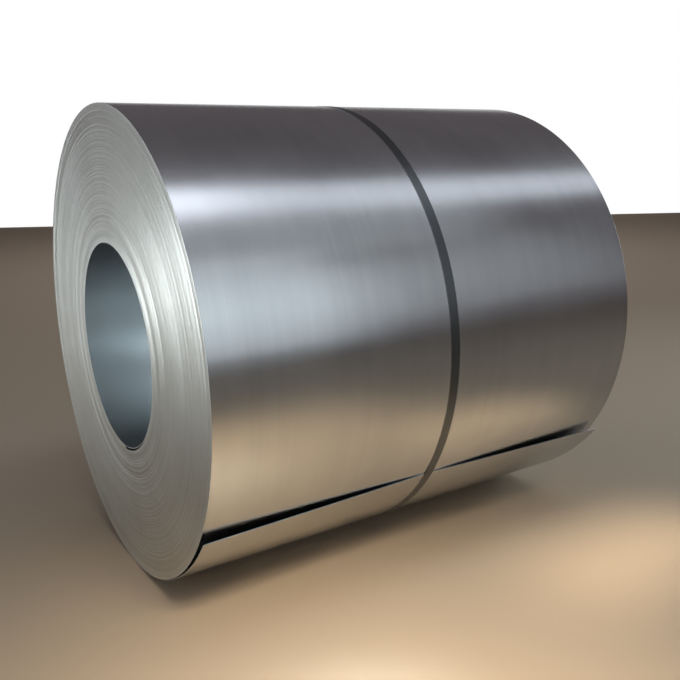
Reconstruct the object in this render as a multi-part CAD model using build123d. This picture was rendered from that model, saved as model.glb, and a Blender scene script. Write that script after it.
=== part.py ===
from build123d import *
import os
from math import acos, atan2, cos, degrees, radians, sin, sqrt

# Cold-rolled steel strip wound into a coil, lying on its side, tied with one steel strap.
# The bore runs along X. The origin is the middle of the bore. Z is up and -Y is the front.
# Angles in the Y-Z plane are in degrees, from +Y (the back) through +Z (the top).

# Strip and coil
coil_diameter = 1150.0
bore_diameter = 508.0
strip_width = 1200.0
strip_thickness = 1.5

# Outer free end of the strip, which comes up from underneath at the front
tail_end_angle = 213.5
tail_lift = 15.0
tail_loose_arc = 38.0
tail_curl_power = 0.8
tail_gap_start = 30.0
tail_stations = (0.3, 0.62, 1.0)
gap_blunt = 0.3

# Inner free end of the strip, at the bottom of the bore
inner_end_angle = 268.0
inner_gap_arc = 44.0
inner_gap_height = 7.0
inner_gap_bulge = 0.62
inner_end_slot = 1.5

# Groups of laps that stand back from the end faces
lap_band_count = 6
lap_band_share = 0.45
lap_band_shift = 0.3
lap_band_depth = 0.9
lap_band_depth_change = 0.5
rim_land = 14.0

# Tie strap round the middle of the coil and its crimped seal
strap_width = 25.4
strap_thickness = 0.9
strap_overlap = 180.0
strap_overlap_below = 0.4
seal_angle = 60.0
seal_length = 48.0
seal_wall = 0.9
seal_fit = 0.1
seal_flange = 8.0
notch_pairs = 2
notch_depth = 2.6
notch_length = 7.0

coil_radius = coil_diameter / 2
bore_radius = bore_diameter / 2
half_width = strip_width / 2
half_turn_radius = coil_radius - strip_thickness / 2


def ray(angle, radius=1.0):
    """Point in the Y-Z plane at an angle and a radius about the bore axis."""
    return Vector(radius * cos(radians(angle)), radius * sin(radians(angle)))


def arc(center, start, end):
    """Short arc about a center from one point to another."""
    middle = (start - center).normalized() + (end - center).normalized()
    radius = (start - center).length
    return ThreePointArc(start, center + middle.normalized() * radius, end)


def turned_arc(center, radius, start_angle, sweep):
    """Arc about a center from an angle through a sweep that may pass half a turn."""
    points = [center + ray(start_angle + sweep * share, radius) for share in (0, 0.5, 1)]
    return ThreePointArc(*points)


def section_face(edges, x):
    """Face in the Y-Z plane at a distance along the bore."""
    plane = Plane(origin=(x, 0, 0), x_dir=(0, 1, 0), z_dir=(1, 0, 0))
    return plane * make_face(edges)


# Coil

half_turn_center = ray(tail_end_angle + 180, strip_thickness / 2)
half_turn_point = ray(tail_end_angle + 180, coil_radius)
step_foot = ray(tail_end_angle, coil_radius - strip_thickness)


def tail_lift_at(x):
    """Height of the free end over the lap below it. The strap holds it down."""
    loose = (abs(x) - strap_width / 2) / (half_width - strap_width / 2)
    return tail_lift * max(loose, 0.0) ** tail_curl_power


def coil_section(x, with_gap):
    """Outline of the wound strip: the loose tail, then one lap that closes on itself."""
    lift = tail_lift_at(x)
    merge = ray(tail_end_angle + tail_loose_arc, coil_radius)
    tip = ray(tail_end_angle, coil_radius + lift)
    reach = coil_radius + lift
    slope = cos(radians(tail_loose_arc))
    spread = reach**2 + coil_radius**2 - 2 * coil_radius * reach * slope
    tail_radius = spread / (2 * (coil_radius - reach * slope))
    tail_center = ray(tail_end_angle + tail_loose_arc, coil_radius - tail_radius)
    edges = [
        arc(tail_center, tip, merge),
        turned_arc(
            Vector(0, 0),
            coil_radius,
            tail_end_angle + tail_loose_arc,
            180 - tail_loose_arc,
        ),
        turned_arc(half_turn_center, half_turn_radius, tail_end_angle + 180, 180),
    ]
    if not with_gap:
        return section_face(edges + [Line(step_foot, tip)], x)
    closed_share = 1 - sqrt(gap_blunt / lift)
    throat = ray(tail_end_angle + tail_loose_arc * closed_share, step_foot.length)
    out = (tip - tail_center).normalized()
    along = (merge - tail_center).normalized()
    tail_sweep = degrees(acos(out.dot(along)))
    inner_radius = tail_radius - strip_thickness
    tip_angle = degrees(atan2(out.Y, out.X))
    tip_foot = tail_center + out * inner_radius
    throat_top = tail_center + ray(tip_angle + tail_sweep * closed_share, inner_radius)
    edges += [
        arc(Vector(0, 0), step_foot, throat),
        Line(throat, throat_top),
        arc(tail_center, throat_top, tip_foot),
        Line(tip_foot, tip),
    ]
    return section_face(edges, x)


def along_bore(edges):
    """Solid with one section over the whole width of the strip."""
    return extrude(section_face(edges, -half_width), strip_width, dir=(1, 0, 0))


def inner_end_gap():
    """Crescent behind the innermost lap, open to the bore at the strip's inner end."""
    lap_radius = bore_radius + strip_thickness
    slot_turn = degrees(inner_end_slot / bore_radius)
    far = inner_end_angle - inner_gap_arc
    outer_end = ray(inner_end_angle + slot_turn, lap_radius + inner_gap_height)
    outer_close = ray(far, lap_radius + gap_blunt)
    middle = ray(inner_end_angle - inner_gap_arc / 2, lap_radius + inner_gap_height * inner_gap_bulge)
    slot_side = ray(inner_end_angle, bore_radius - strip_thickness)
    slot_far = ray(inner_end_angle + slot_turn, bore_radius - strip_thickness)
    edges = [
        turned_arc(Vector(0, 0), lap_radius, inner_end_angle, -inner_gap_arc),
        Line(ray(far, lap_radius), outer_close),
        ThreePointArc(outer_close, middle, outer_end),
        Line(outer_end, slot_far),
        Line(slot_far, slot_side),
        Line(slot_side, ray(inner_end_angle, lap_radius)),
    ]
    return along_bore(edges)


def lap_bands(side):
    """Rings cut into an end face, each a group of laps that stands back a little."""
    first = bore_radius + rim_land
    pitch = (coil_radius - rim_land - first) / lap_band_count
    rings = []
    for index in range(lap_band_count):
        inner = first + pitch * (index + lap_band_shift * (index % 2))
        outer = inner + pitch * lap_band_share
        depth = lap_band_depth + lap_band_depth_change * cos(2 * index + side)
        plane = Plane(origin=(side * half_width, 0, 0), z_dir=(-side, 0, 0))
        rings.append(extrude(plane * (Circle(outer) - Circle(inner)), depth))
    return rings


def make_coil():
    strap_edge = strap_width / 2
    gap_edge = strap_edge + tail_gap_start
    middle = [coil_section(x, False) for x in (-gap_edge, -strap_edge, strap_edge, gap_edge)]
    coil = loft(middle, ruled=True)
    for side in (-1, 1):
        stations = [gap_edge] + [share * half_width for share in tail_stations]
        coil += loft([coil_section(side * x, True) for x in stations], ruled=True)
    bore = along_bore([CenterArc((0, 0), bore_radius, 0, 360)])
    return coil - [bore, inner_end_gap()] - lap_bands(-1) - lap_bands(1)


# Strap

seal_lift = seal_wall + seal_fit


def touch(center, radius, point, turn):
    """Point where a line from a point outside touches a circle, on the chosen side."""
    away = point - center
    angle = degrees(atan2(away.Y, away.X)) + turn * degrees(acos(radius / away.length))
    return center + ray(angle, radius)


def seal_notches():
    """Cuts that lock the seal to the strap: the sealer bites both edges together."""
    out = ray(seal_angle)
    across = ray(seal_angle + 90)
    seat = half_turn_center + out * (half_turn_radius + seal_lift)
    plane = Plane(origin=(0, seat.X, seat.Y), x_dir=(1, 0, 0), z_dir=(0, out.X, out.Y))
    bite = strap_width / 2 + seal_fit + seal_wall + notch_length / 2 - notch_depth
    pitch = seal_length / notch_pairs
    reach = 2 * (strap_thickness + seal_lift) + notch_depth
    cuts = []
    for pair in range(notch_pairs):
        for side in (-1, 1):
            spot = Pos(side * bite, (pair + 0.5) * pitch - seal_length / 2)
            cuts.append(extrude(plane * (spot * Circle(notch_length / 2)), reach, both=True))
    return cuts


def strap_path():
    """Inner line of the strap: on the coil, flat under the seal, straight over the step."""
    flat_radius = half_turn_radius + seal_lift
    out = ray(seal_angle)
    across = ray(seal_angle + 90)
    flat_start = half_turn_center + out * flat_radius - across * (seal_length / 2)
    flat_end = half_turn_center + out * flat_radius + across * (seal_length / 2)
    rise = touch(half_turn_center, half_turn_radius, flat_start, -1)
    fall = touch(half_turn_center, half_turn_radius, flat_end, 1)
    tip = ray(tail_end_angle, coil_radius)
    leave = touch(half_turn_center, half_turn_radius, tip, -1)
    return [
        turned_arc(Vector(0, 0), coil_radius, tail_end_angle, 180),
        arc(half_turn_center, half_turn_point, rise),
        Line(rise, flat_start),
        Line(flat_start, flat_end),
        Line(flat_end, fall),
        arc(half_turn_center, fall, leave),
        Line(leave, tip),
    ]


def make_strap():
    inside = make_face(strap_path())
    once = offset(inside, strap_thickness)
    twice = offset(inside, 2 * strap_thickness)
    overlap_turn = degrees(strap_overlap / coil_radius)
    corners = [
        (0, 0),
        ray(seal_angle - strap_overlap_below * overlap_turn, 2 * coil_radius),
        ray(seal_angle + (1 - strap_overlap_below) * overlap_turn, 2 * coil_radius),
    ]
    overlap = (twice - once) & make_face(Polyline(corners, close=True))
    plane = Plane(origin=(-strap_width / 2, 0, 0), x_dir=(0, 1, 0), z_dir=(1, 0, 0))
    return extrude(plane * ((once - inside) + overlap), strap_width) - seal_notches()


# Seal


def make_seal():
    """Sleeve folded round the lapped strap ends and crimped from both edges."""
    stack = 2 * strap_thickness
    half_inside = strap_width / 2 + seal_fit
    half_outside = half_inside + seal_wall
    top = stack + seal_fit + seal_wall
    sleeve = Rectangle(2 * half_outside, top + seal_wall + seal_fit)
    sleeve = Pos(0, (top - seal_wall - seal_fit) / 2) * sleeve
    hollow = Rectangle(2 * half_inside, stack + 2 * seal_fit)
    hollow = Pos(0, stack / 2) * hollow
    mouth = Rectangle(2 * (half_outside - seal_wall - seal_flange), 2 * seal_wall + 4 * seal_fit)
    mouth = Pos(0, -seal_wall - seal_fit) * mouth
    sleeve = sleeve - hollow - mouth
    across = ray(seal_angle + 90)
    seat = half_turn_center + ray(seal_angle, half_turn_radius + seal_lift) - across * (seal_length / 2)
    plane = Plane(origin=(0, seat.X, seat.Y), x_dir=(1, 0, 0), z_dir=(0, across.X, across.Y))
    return extrude(plane * sleeve, seal_length) - seal_notches()


coil = make_coil()
strap = make_strap()
strap_seal = make_seal()

os.makedirs("parts", exist_ok=True)
export_step(coil, "parts/coil.step")
export_step(strap, "parts/strap.step")
export_step(strap_seal, "parts/strap_seal.step")
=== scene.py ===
import bmesh
import bpy
from math import cos, pi, radians, sin, sqrt, tan
from mathutils import Matrix, Vector
from random import Random


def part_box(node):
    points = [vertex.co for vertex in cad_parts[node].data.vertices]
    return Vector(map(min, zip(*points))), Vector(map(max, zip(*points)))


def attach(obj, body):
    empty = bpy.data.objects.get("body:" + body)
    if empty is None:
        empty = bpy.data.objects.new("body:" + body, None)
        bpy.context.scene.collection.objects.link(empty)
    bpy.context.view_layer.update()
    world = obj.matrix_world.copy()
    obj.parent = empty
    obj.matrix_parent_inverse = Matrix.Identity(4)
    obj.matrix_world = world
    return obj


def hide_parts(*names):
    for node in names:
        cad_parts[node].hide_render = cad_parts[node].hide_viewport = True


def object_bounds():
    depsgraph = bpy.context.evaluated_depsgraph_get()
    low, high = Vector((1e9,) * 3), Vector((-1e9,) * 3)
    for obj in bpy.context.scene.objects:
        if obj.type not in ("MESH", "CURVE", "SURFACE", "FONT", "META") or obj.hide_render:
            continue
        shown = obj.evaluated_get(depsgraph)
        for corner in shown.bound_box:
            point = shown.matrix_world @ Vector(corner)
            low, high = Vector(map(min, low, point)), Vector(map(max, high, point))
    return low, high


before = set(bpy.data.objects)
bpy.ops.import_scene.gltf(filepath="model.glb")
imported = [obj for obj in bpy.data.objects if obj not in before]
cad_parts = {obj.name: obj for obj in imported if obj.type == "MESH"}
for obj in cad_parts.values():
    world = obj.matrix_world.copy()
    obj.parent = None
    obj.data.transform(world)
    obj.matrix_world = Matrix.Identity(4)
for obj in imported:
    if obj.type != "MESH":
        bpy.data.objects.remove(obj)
cad_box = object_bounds()

# Wound laps
# The coil's body is cold-rolled strip, 1.5 mm thick, wound lap on lap round a mandrel of 508 mm.
# No two slit edges line up, so every few laps stand a little higher or lower on the ends.

bore_radius = 0.254
coil_radius = 0.575
half_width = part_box("coil")[1].x
strip_thickness = 0.0015
tuck = 0.0002
body_radius = coil_radius - 2.2 * strip_thickness
wall_radius = bore_radius + strip_thickness - tuck
rim_land = 0.014
lap_groups = 104
group_depth = 0.0004
wave_depth = 0.00025
turn_steps = 192
inner_end = radians(268)
inner_gap_arc = radians(44)
inner_gap_height = 0.007
inner_gap_blunt = 0.0003
inner_gap_curve = 0.73
inner_slot = radians(0.34)


def round_axis(x, radius, angle):
    """Place at a distance along the bore, a radius and an angle from the back through the top."""
    return Vector((x, radius * cos(angle), radius * sin(angle)))


def lap_profile(drawn):
    """Outline of half the body's section: the ends zigzag from lap group to lap group."""
    ends = {}
    for side in (-1, 1):
        ends[side] = [(side * half_width, wall_radius), (side * half_width, bore_radius + rim_land)]
        for group in range(1, lap_groups + 1):
            share = group / lap_groups
            radius = bore_radius + rim_land + share * (body_radius - bore_radius - rim_land)
            wave = 1 + sin(19 * share + 5 * sin(6 * share) + side)
            depth = group_depth * drawn.random() + wave_depth * wave
            ends[side].append((side * (half_width - depth), radius))
    return ends[-1][::-1] + ends[1]


coil_mesh = bmesh.new()
outline = [coil_mesh.verts.new(round_axis(x, r, inner_end)) for x, r in lap_profile(Random(7))]
rim = [coil_mesh.edges.new(pair) for pair in zip(outline, outline[1:] + outline[:1])]
bmesh.ops.spin(coil_mesh, geom=outline + rim, cent=(0, 0, 0), axis=(1, 0, 0), dvec=(0, 0, 0),
               angle=2 * pi, steps=turn_steps, use_merge=True)
slot_side = round_axis(0, 1, inner_end + inner_slot + pi / 2)
bmesh.ops.bisect_plane(coil_mesh, geom=coil_mesh.verts[:] + coil_mesh.edges[:] + coil_mesh.faces[:],
                       plane_co=(0, 0, 0), plane_no=slot_side)
for vert in coil_mesh.verts:
    back = (inner_end - Vector((vert.co.y, vert.co.z)).angle_signed(Vector((1, 0)))) % (2 * pi)
    if vert.co.yz.length < wall_radius + tuck and back < inner_gap_arc:
        opened = inner_gap_blunt + inner_gap_height * (1 - back / inner_gap_arc) ** inner_gap_curve
        vert.co.yz = vert.co.yz.normalized() * (bore_radius + strip_thickness + opened)

# Outer and inner free ends
# The strip's last lap lies on the body. Its end comes up from underneath at the front, where only
# the strap holds it, so both corners spring away. The first lap ends loose at the bore's bottom.

tail_end = radians(213.5)
tail_arc = radians(38)
tail_lift = 0.015
tail_curl_power = 0.8
strap_half = 0.0127
outer_turn = radians(405)
hidden_from = radians(44)
lip_radius = 0.0004
lip_zone = 0.003


def tail_radius(lift, turn):
    """Radius of the loose end's outer face: one bend that meets the coil where the slack starts."""
    reach = coil_radius + lift
    fall = cos(tail_arc)
    bend = (reach**2 + coil_radius**2 - 2 * coil_radius * reach * fall) / (2 * (coil_radius - reach * fall))
    offset = bend - coil_radius
    before = tail_arc - turn
    return sqrt(bend**2 - (offset * sin(before))**2) - offset * cos(before)


def outer_lap(x, turn, outside):
    """Place on the last lap, which sinks by its thickness in half a turn to pass under its own end."""
    lift = tail_lift * max((abs(x) - strap_half) / (half_width - strap_half), 0)**tail_curl_power
    if turn < tail_arc:
        radius = tail_radius(lift, turn)
    elif turn < pi:
        radius = coil_radius
    else:
        radius = coil_radius - strip_thickness * (1 + cos(min(turn, 2 * pi))) / 2
    if not outside:
        radius = radius - strip_thickness if turn < hidden_from else body_radius - tuck
    return round_axis(x, radius, tail_end + turn)


def inner_lap(x, turn, outside):
    """Place on the first lap, which lines the bore."""
    radius = bore_radius + (strip_thickness if outside else 0)
    return round_axis(x, radius, inner_end - turn)


def lay_strip(lap, turn, across, along):
    """Lays a grid of strip round the axis, doubles it for the strip's thickness and bends it to a lap."""
    grid = bmesh.ops.create_grid(coil_mesh, x_segments=across, y_segments=along, size=1)["verts"]
    faces = list(dict.fromkeys(face for vert in grid for face in vert.link_faces))
    raised = bmesh.ops.extrude_face_region(coil_mesh, geom=faces)["geom"]
    raised = dict.fromkeys(part for part in raised if isinstance(part, bmesh.types.BMVert))
    middle = 1 / (across // 2)
    for vert in list(raised) + grid:
        reach = abs(vert.co.x)
        x = strap_half + (half_width - strap_half) * (reach - middle) / (1 - middle)
        x = strap_half * reach / middle if reach < middle else x
        x = x if vert.co.x > 0 else -x
        vert.co = lap(x, turn * (1 - vert.co.y) / 2, vert in raised)


lay_strip(outer_lap, outer_turn, 26, 270)
lay_strip(inner_lap, 2 * pi - inner_slot, 6, turn_steps)
bmesh.ops.recalc_face_normals(coil_mesh, faces=coil_mesh.faces)
lip = [edge for edge in coil_mesh.edges
       if min(abs(vert.co.x) for vert in edge.verts) > half_width - tuck
       and min(vert.co.yz.length for vert in edge.verts) > coil_radius - strip_thickness - tuck
       and edge.calc_face_angle(0) > 1]
bmesh.ops.bevel(coil_mesh, geom=lip, offset=lip_radius, affect="EDGES", segments=2, profile=0.5, material=-1)
for face in coil_mesh.faces:
    face.smooth = True
    face.material_index = 1 if abs(face.normal.x) > 0.6 else 0
for edge in coil_mesh.edges:
    at_end = min(abs(vert.co.x) for vert in edge.verts) > half_width - lip_zone
    edge.smooth = edge.calc_face_angle(0) < radians(3 if at_end else 25)
coil_data = bpy.data.meshes.new("coil_strip")
coil_mesh.to_mesh(coil_data)
coil_mesh.free()
coil = bpy.data.objects.new("coil_strip", coil_data)
bpy.context.scene.collection.objects.link(coil)
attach(coil, "root")
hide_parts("coil")

# Mill face and slit edges
# The face is bright rolled steel under a thin film of oil, streaked along the strip by the rolls.
# The edges are the grey torn metal that the slitting knives leave, duller and warmer than the face.


class Socket:
    """A node's output that Python expressions can work with."""

    def __init__(self, tree, link):
        self.tree = tree
        self.link = link

    def node(self, kind, settings=None, out=0, **inputs):
        made = self.tree.nodes.new("ShaderNode" + kind)
        for name, value in (settings or {}).items():
            setattr(made, name, value)
        for name, value in inputs.items():
            plug = made.inputs[int(name[1:])] if name[1:].isdigit() else made.inputs[name.replace("_", " ")]
            if isinstance(value, Socket):
                self.tree.links.new(value.link, plug)
            else:
                plug.default_value = value
        return Socket(self.tree, made.outputs[out])

    def maths(self, operation, first, second):
        return self.node("Math", {"operation": operation}, i0=first, i1=second)

    def __add__(self, other):
        return self.maths("ADD", self, other)

    def __rsub__(self, other):
        return self.maths("SUBTRACT", other, self)

    def __mul__(self, other):
        return self.maths("MULTIPLY", self, other)

    def __pow__(self, other):
        return self.maths("POWER", self, other)

    __radd__ = __add__
    __rmul__ = __mul__

    def part(self, axis):
        return self.node("SeparateXYZ", out=axis, Vector=self)

    def off_axis(self):
        """Distance of a place from the bore's axis."""
        across = self.part(1)
        upward = self.part(2)
        return (across * across + upward * upward) ** 0.5

    def stretched(self, x, y, z):
        return self.node("Mapping", Vector=self, Scale=(x, y, z))

    def noise(self, detail, roughness=0.55):
        return self.node("TexNoise", Vector=self, Scale=1.0, Detail=detail, Roughness=roughness)

    def line_noise(self, scale, detail):
        settings = {"noise_dimensions": "1D"}
        return self.node("TexNoise", settings, W=self * scale, Scale=1.0, Detail=detail)

    def between(self, low, high):
        """0 below one value and 1 above another, with a soft step."""
        settings = {"interpolation_type": "SMOOTHSTEP"}
        return self.node("MapRange", settings, Value=self, i1=low, i2=high)

    def blend(self, first, second):
        """First colour where this is 0, second where it is 1."""
        return self.node("Mix", {"data_type": "RGBA"}, out=2, i0=self, i6=first, i7=second)


class Finish:
    """A material whose shader is set by name."""

    def __init__(self, name, **constants):
        self.material = bpy.data.materials.new(name)
        self.material.use_nodes = True
        self.shader = self.material.node_tree.nodes["Principled BSDF"]
        place = self.material.node_tree.nodes.new("ShaderNodeTexCoord").outputs["Object"]
        self.place = Socket(self.material.node_tree, place)
        for plug, value in constants.items():
            self.shader.inputs[plug.replace("_", " ")].default_value = value

    def feed(self, **links):
        for plug, source in links.items():
            self.material.node_tree.links.new(source.link, self.shader.inputs[plug.replace("_", " ")])


mill_face = Finish("rolled_mill_face", Metallic=1.0)
rolling = mill_face.place.stretched(260, 2, 2).noise(3, 0.5)
roll_bands = mill_face.place.stretched(32, 1.2, 1.2).noise(2)
oil = mill_face.place.stretched(3.2, 4.5, 4.5).noise(4, 0.5)
slack = mill_face.place.stretched(1.8, 4.5, 4.5).noise(2)
flutter = mill_face.place.stretched(2.2, 15, 15).noise(2)
tone = rolling * 0.16 + roll_bands * 0.24 + oil * 0.6
waves = slack.node("Bump", Strength=1.0, Distance=0.0012, Height=slack + flutter * 0.12)
# Painted light: the bore wall and the laps beside it get a paler, bluer base colour, a painted brightening
# that stands in for light in the bore.
past_bore = mill_face.place.off_axis().between(bore_radius + 0.016, bore_radius + 0.046)
outer_tone = tone.between(0.3, 0.68).blend((0.50, 0.52, 0.54, 1), (0.59, 0.61, 0.63, 1))
mill_face.feed(
    Base_Color=past_bore.blend((0.75, 0.785, 0.80, 1), outer_tone),
    Roughness=0.19 + rolling * 0.03 + oil * 0.07,
    Normal=rolling.node("Bump", Strength=0.012, Distance=0.0004, Height=rolling, Normal=waves),
)

slit_edge = Finish("slit_edges", Metallic=1.0)
radius = slit_edge.place.off_axis()
single_laps = radius.line_noise(640, 2)
lap_bands = radius.line_noise(75, 3)
stains = slit_edge.place.stretched(5, 5, 5).noise(4)
# Painted highlights: a near-white ring at the bore's edge and another at the outer rim of each end face
# stand in for light caught by the slit edges.
bore_edge_highlight = 1 - radius.between(bore_radius + 0.006, bore_radius + 0.018)
rim_highlight = radius.between(coil_radius - 0.006, coil_radius - 0.002)
edge_tone = (single_laps * 0.4 + lap_bands * 0.2 + stains * 0.4).between(0.3, 0.7)
edge_color = edge_tone.blend((0.52, 0.515, 0.475, 1), (0.67, 0.665, 0.625, 1))
slit_edge.feed(
    Base_Color=(bore_edge_highlight * 0.6 + rim_highlight * 0.8).blend(edge_color, (0.78, 0.78, 0.76, 1)),
    Roughness=0.28 + single_laps * 0.1,
    Normal=single_laps.node("Bump", Strength=1.0, Distance=0.00025, Height=single_laps),
)
for finish in (mill_face, slit_edge):
    coil.data.materials.append(finish.material)

# Strap and seal
# High-tensile strapping, blued and waxed, is pulled tight round the middle of the coil.
# A zinc-plated seal is crimped over its ends.

blued = Finish("blued_strapping", Metallic=1.0)
drag = blued.place.stretched(500, 5, 5).noise(3)
worn = blued.place.stretched(50, 50, 50).noise(4)
worn_from = 0.0108
edge_wear = (blued.place.part(0) ** 2).between(worn_from**2, strap_half**2)
wear = (edge_wear * 0.55 + worn * 0.6 + drag * 0.15).between(0.45, 1.0)
blued.feed(
    Base_Color=wear.blend((0.13, 0.142, 0.15, 1), (0.30, 0.31, 0.32, 1)),
    Roughness=0.24 + drag * 0.1 + worn * 0.08,
)
zinc = Finish("zinc_plate", Metallic=1.0)
spangle = zinc.place.stretched(160, 160, 160).noise(3)
zinc.feed(
    Base_Color=spangle.between(0.35, 0.65).blend((0.46, 0.47, 0.475, 1), (0.60, 0.61, 0.62, 1)),
    Roughness=0.3 + spangle * 0.16,
)
for name, finish in (("strap", blued), ("strap_seal", zinc)):
    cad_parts[name].data.materials.clear()
    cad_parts[name].data.materials.append(finish.material)

# Floor, light and camera
# A tan floor, a white backdrop, windows on all sides and the photograph's point of view.
# Four lamps light only the floor, and two in the bore stand in for the daylight that comes through.

floor_level = cad_box[0][2]
bpy.ops.mesh.primitive_plane_add(size=40, location=(0, 0, floor_level))
floor = bpy.context.object
floor.name = "floor"
floor_paint = Finish("warm_floor", Base_Color=(0.52, 0.44, 0.335, 1), Roughness=0.8, Specular_IOR_Level=0.2)
floor.data.materials.append(floor_paint.material)


def soft_lamp(name, place, aim, size, brightness, color, in_gloss=True, spread=180):
    """Lamp with a rectangle's size in metres, the brightness its face shows and its beam's angle."""
    lamp = bpy.data.lights.new(name, "AREA")
    lamp.shape = "RECTANGLE"
    lamp.size, lamp.size_y = size
    half_beam = radians(min(spread, 179) / 2)
    lamp.energy = brightness * pi * size[0] * size[1] * (1 - half_beam / tan(half_beam))
    lamp.color = color
    lamp.spread = radians(spread)
    holder = bpy.data.objects.new(name, lamp)
    bpy.context.scene.collection.objects.link(holder)
    holder.location = place
    holder.rotation_euler = (Vector(aim) - Vector(place)).to_track_quat("-Z", "Y").to_euler()
    holder.visible_glossy = in_gloss
    holder.visible_camera = False


def floor_lamp(name, place, reach, size, brightness, color, spread):
    """Lamp that lights a patch of floor under it, at a reach to the right and to the back."""
    aim = (place[0] + reach[0], place[1] + reach[1], floor_level)
    soft_lamp(name, place, aim, size, brightness, color, in_gloss=False, spread=spread)


daylight = (0.86, 0.955, 1.0)
warm = (1, 0.81, 0.60)
soft_lamp("skylight", (-0.3, -1.22, 3.2), (-0.3, -0.42, 0.3), (2.4, 0.85), 2.2, (0.88, 0.92, 1.0))
soft_lamp("far_skylight", (2.9, -1.22, 3.2), (2.9, -0.42, 0.3), (4.0, 0.85), 1.1, (0.86, 0.92, 1.0))
soft_lamp("high_window", (1.3, -2.9, 3.5), (0.9, -0.4, 0.3), (4.6, 1.8), 0.3, daylight)
soft_lamp("window", (1.35, -5.0, 1.9), (-0.5, -0.5, 0.2), (2.6, 4.0), 1.25, daylight, spread=76)
soft_lamp("far_window", (4.1, -4.6, 2.0), (0.5, -0.5, 0.2), (2.6, 3.0), 0.3, daylight, spread=76)
soft_lamp("side_window", (-3.5, 2.6, -0.15), (-0.6, 0, 0), (2.2, 0.8), 14, daylight, spread=44)
soft_lamp("back_window", (-4.2, 4.6, 2.4), (0, 0, 0.2), (3.0, 2.5), 1.2, daylight, spread=76)
soft_lamp("end_window", (4.6, -0.1, 0.9), (0.6, 0, 0), (1.8, 2.0), 5, daylight, spread=70)
soft_lamp("bore_fill", (0.07, 0, 0), (-1, 0, 0), (0.46, 0.46), 0.08, daylight)
soft_lamp("bore_window", (-0.02, 0, -0.05), (-1, 0, -0.05), (0.44, 0.1), 2.6, daylight)
floor_lamp("floor_light", (-0.48, -2.2, 1.6), (0, 1.25), (1.2, 0.6), 68, warm, 40)
floor_lamp("far_floor_light", (0.5, -1.3, 1.4), (0, 0.57), (0.6, 0.15), 270, warm, 16)
floor_lamp("near_floor_light", (-0.55, -1.2, 1.2), (0.09, 0.35), (0.3, 0.2), 300, daylight, 14)
floor_lamp("back_softbox", (3.5, 5.0, 5.0), (0, 0), (6, 5), 1.6, (1, 1, 1), 110)

world = bpy.data.worlds.new("studio")
bpy.context.scene.world = world
world.use_nodes = True
world.node_tree.nodes["Background"].inputs["Color"].default_value = (0.12, 0.105, 0.11, 1)

backdrop_width = 12
backdrop_height = 4
backdrop_place = (0, 11, 1.4)
backdrop_turn = radians(-32.7)
bpy.ops.mesh.primitive_plane_add(size=1)
backdrop = bpy.context.object
backdrop.name = "backdrop"
upright = Matrix.Rotation(pi / 2, 4, "X") @ Matrix.Diagonal((backdrop_width, backdrop_height, 1, 1))
backdrop.data.transform(Matrix.Translation(backdrop_place) @ upright)
backdrop.data.transform(Matrix.Rotation(backdrop_turn, 4, "Z"))
white_paint = Finish("white_backdrop")
tree = white_paint.material.node_tree
light_path = tree.nodes.new("ShaderNodeLightPath")
seen = Socket(tree, light_path.outputs["Is Camera Ray"])
for kind in ("Glossy", "Transmission"):
    seen = seen.maths("MAXIMUM", seen, Socket(tree, light_path.outputs[f"Is {kind} Ray"]))
glow = seen.node("Emission", Color=(1, 1, 1, 1), Strength=1.0)
shown = seen.node("MixShader", i0=seen, i1=Socket(tree, white_paint.shader.outputs[0]), i2=glow)
tree.links.new(shown.link, tree.nodes["Material Output"].inputs["Surface"])
backdrop.data.materials.append(white_paint.material)

camera_place = (-1.1544, -1.8889, 0.4409)
camera_yaw = radians(-32.6881)
camera_pitch = radians(-13.047)
camera_roll = radians(-1.2631)
camera = bpy.data.cameras.new("camera")
camera.sensor_width = 36
camera.lens = 41.733
camera_holder = bpy.data.objects.new("camera", camera)
bpy.context.scene.collection.objects.link(camera_holder)
turn = Matrix.Rotation(camera_yaw, 4, "Z")
tip = Matrix.Rotation(pi / 2 + camera_pitch, 4, "X")
roll = Matrix.Rotation(camera_roll, 4, "Z")
camera_holder.matrix_world = Matrix.Translation(camera_place) @ turn @ tip @ roll
bpy.context.scene.camera = camera_holder

bpy.context.scene.view_settings.view_transform = "Standard"
